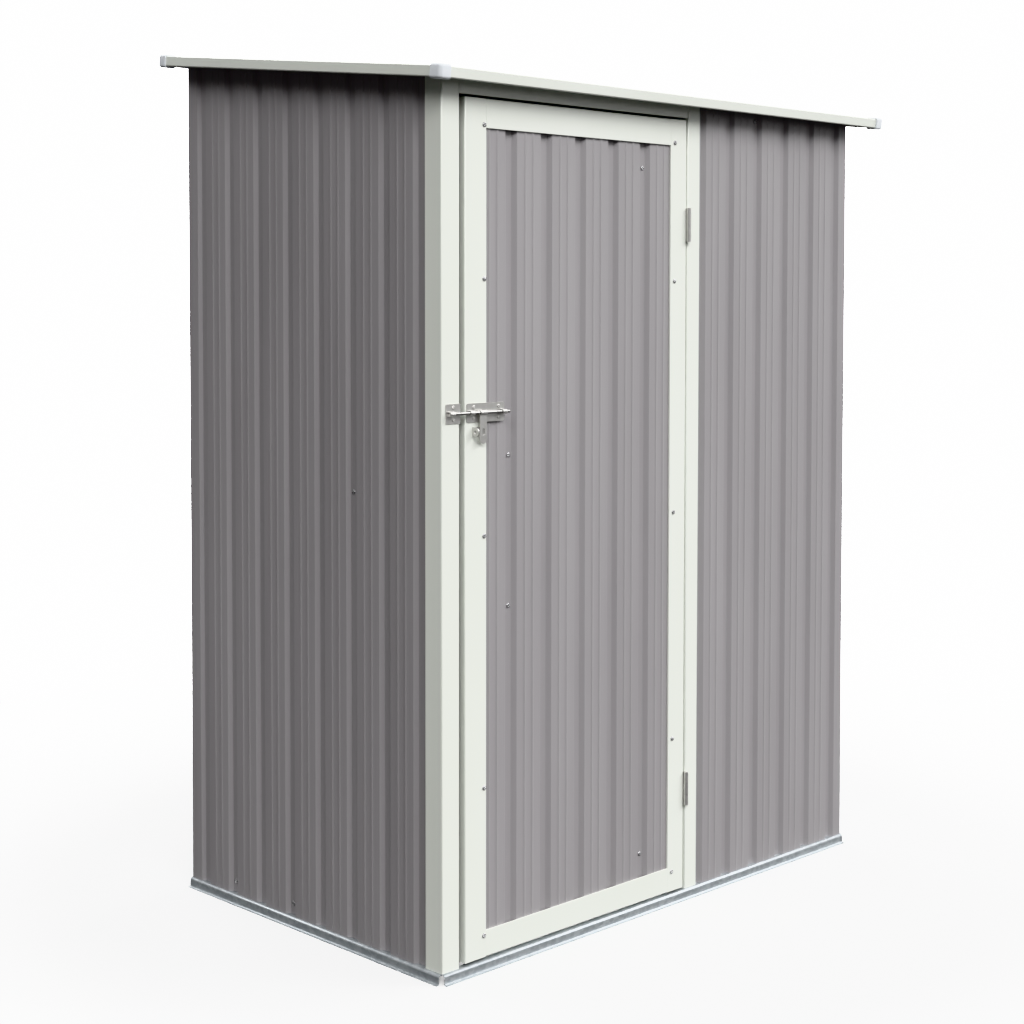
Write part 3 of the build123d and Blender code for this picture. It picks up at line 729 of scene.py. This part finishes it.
def makeFloor():
    f = floorForm
    mesh = bpy.data.meshes.new("floor")
    ring = [
        (f["radius"] * math.cos(2 * math.pi * k / f["segments"]),
         f["radius"] * math.sin(2 * math.pi * k / f["segments"]), -f["drop"])
        for k in range(f["segments"])
    ]
    mesh.from_pydata(ring, [], [tuple(range(f["segments"]))])
    mesh.materials.append(makeFinish(floorPaint))
    # the floor thins out into the white surround, so no edge or horizon shows
    tree = mesh.materials[0].node_tree
    skin = next(n for n in tree.nodes if n.type == "BSDF_PRINCIPLED")
    place = next(n for n in tree.nodes if n.type == "TEX_COORD")
    reach = tree.nodes.new("ShaderNodeVectorMath")
    reach.operation = "LENGTH"
    fade = tree.nodes.new("ShaderNodeMapRange")
    fade.interpolation_type = "SMOOTHSTEP"
    fade.inputs["From Min"].default_value = f["fadeFrom"]
    fade.inputs["From Max"].default_value = f["fadeTo"]
    fade.inputs["To Min"].default_value = f["solid"]
    fade.inputs["To Max"].default_value = 0.0
    tree.links.new(place.outputs["Object"], reach.inputs[0])
    tree.links.new(reach.outputs["Value"], fade.inputs["Value"])
    tree.links.new(fade.outputs["Result"], skin.inputs["Alpha"])
    floor = bpy.data.objects.new("floor", mesh)
    bpy.context.scene.collection.objects.link(floor)
    # no glare from the floor on the lower walls
    floor.visible_diffuse = False
    floor.visible_glossy = False


lightForm = {
    "sky": 3.0, "skyLow": (0.36, 0.62), "skyHigh": (0.86, 0.97), "skyTop": 0.25,
    "around": 0.12,
    "boxes": (
        (4.3, (-0.574, -0.819, 0.0), (0.58, 0.76)),
        (5.4, (0.906, -0.423, 0.0), (0.56, 0.76)),
        (3.6, (0.0, 1.0, 0.0), (0.60, 0.76)),
    ),
    "horizon": 0.08, "card": 1.0, "cardWay": (0.6, -0.8, 0.0), "cardEdge": (0.35, 0.95),
    "below": 0.16, "belowEdge": (-0.05, 0.05), "seen": 14.0,
}


def makeLight():
    light = lightForm
    scene = bpy.context.scene
    world = bpy.data.worlds.new("studio")
    scene.world = world
    world.use_nodes = True
    tree = world.node_tree
    tree.nodes.clear()
    way = tree.nodes.new("ShaderNodeTexCoord").outputs["Generated"]
    parts = tree.nodes.new("ShaderNodeSeparateXYZ")
    tree.links.new(way, parts.inputs["Vector"])
    height = parts.outputs["Z"]

    def ease(value, span, low, high):
        step = tree.nodes.new("ShaderNodeMapRange")
        step.interpolation_type = "SMOOTHSTEP"
        ends = {"From Min": span[0], "From Max": span[1], "To Min": low, "To Max": high}
        for socket, amount in ends.items():
            if isinstance(amount, float):
                step.inputs[socket].default_value = amount
            else:
                tree.links.new(amount, step.inputs[socket])
        tree.links.new(value, step.inputs["Value"])
        return step.outputs["Result"]

    def towards(aim):
        dot = tree.nodes.new("ShaderNodeVectorMath")
        dot.operation = "DOT_PRODUCT"
        dot.inputs[1].default_value = aim
        tree.links.new(way, dot.inputs[0])
        return dot.outputs["Value"]

    def combine(kind, first, second):
        both = tree.nodes.new("ShaderNodeMath")
        both.operation = kind
        for k, amount in enumerate((first, second)):
            if isinstance(amount, float):
                both.inputs[k].default_value = amount
            else:
                tree.links.new(amount, both.inputs[k])
        return both.outputs["Value"]

    # a soft ring of light overhead, fuller in boxes at the front's left and right and behind
    rising = ease(height, light["skyLow"], 0.0, light["sky"])
    ring = combine("MULTIPLY", rising, ease(height, light["skyHigh"], 1.0, light["skyTop"]))
    boxes = light["around"]
    for power, aim, edge in light["boxes"]:
        boxes = combine("ADD", boxes, ease(towards(aim), edge, 0.0, power))
    ring = combine("MULTIPLY", ring, boxes)
    # dim walls with one pale card, and dark below the floor
    card = ease(towards(light["cardWay"]), light["cardEdge"], light["horizon"], light["card"])
    walls = ease(height, light["belowEdge"], light["below"], card)

    lit = tree.nodes.new("ShaderNodeBackground")
    tree.links.new(combine("ADD", ring, walls), lit.inputs["Strength"])
    seen = tree.nodes.new("ShaderNodeBackground")
    seen.inputs["Color"].default_value = (1, 1, 1, 1)
    seen.inputs["Strength"].default_value = light["seen"]
    path = tree.nodes.new("ShaderNodeLightPath")
    mix = tree.nodes.new("ShaderNodeMixShader")
    output = tree.nodes.new("ShaderNodeOutputWorld")
    tree.links.new(path.outputs["Is Camera Ray"], mix.inputs["Fac"])
    tree.links.new(lit.outputs["Background"], mix.inputs[1])
    tree.links.new(seen.outputs["Background"], mix.inputs[2])
    tree.links.new(mix.outputs["Shader"], output.inputs["Surface"])
    scene.view_settings.view_transform = "Khronos PBR Neutral"
    scene.view_settings.look = "None"


makeCamera()
makeFloor()
makeLight()
print("camera, floor and light set")
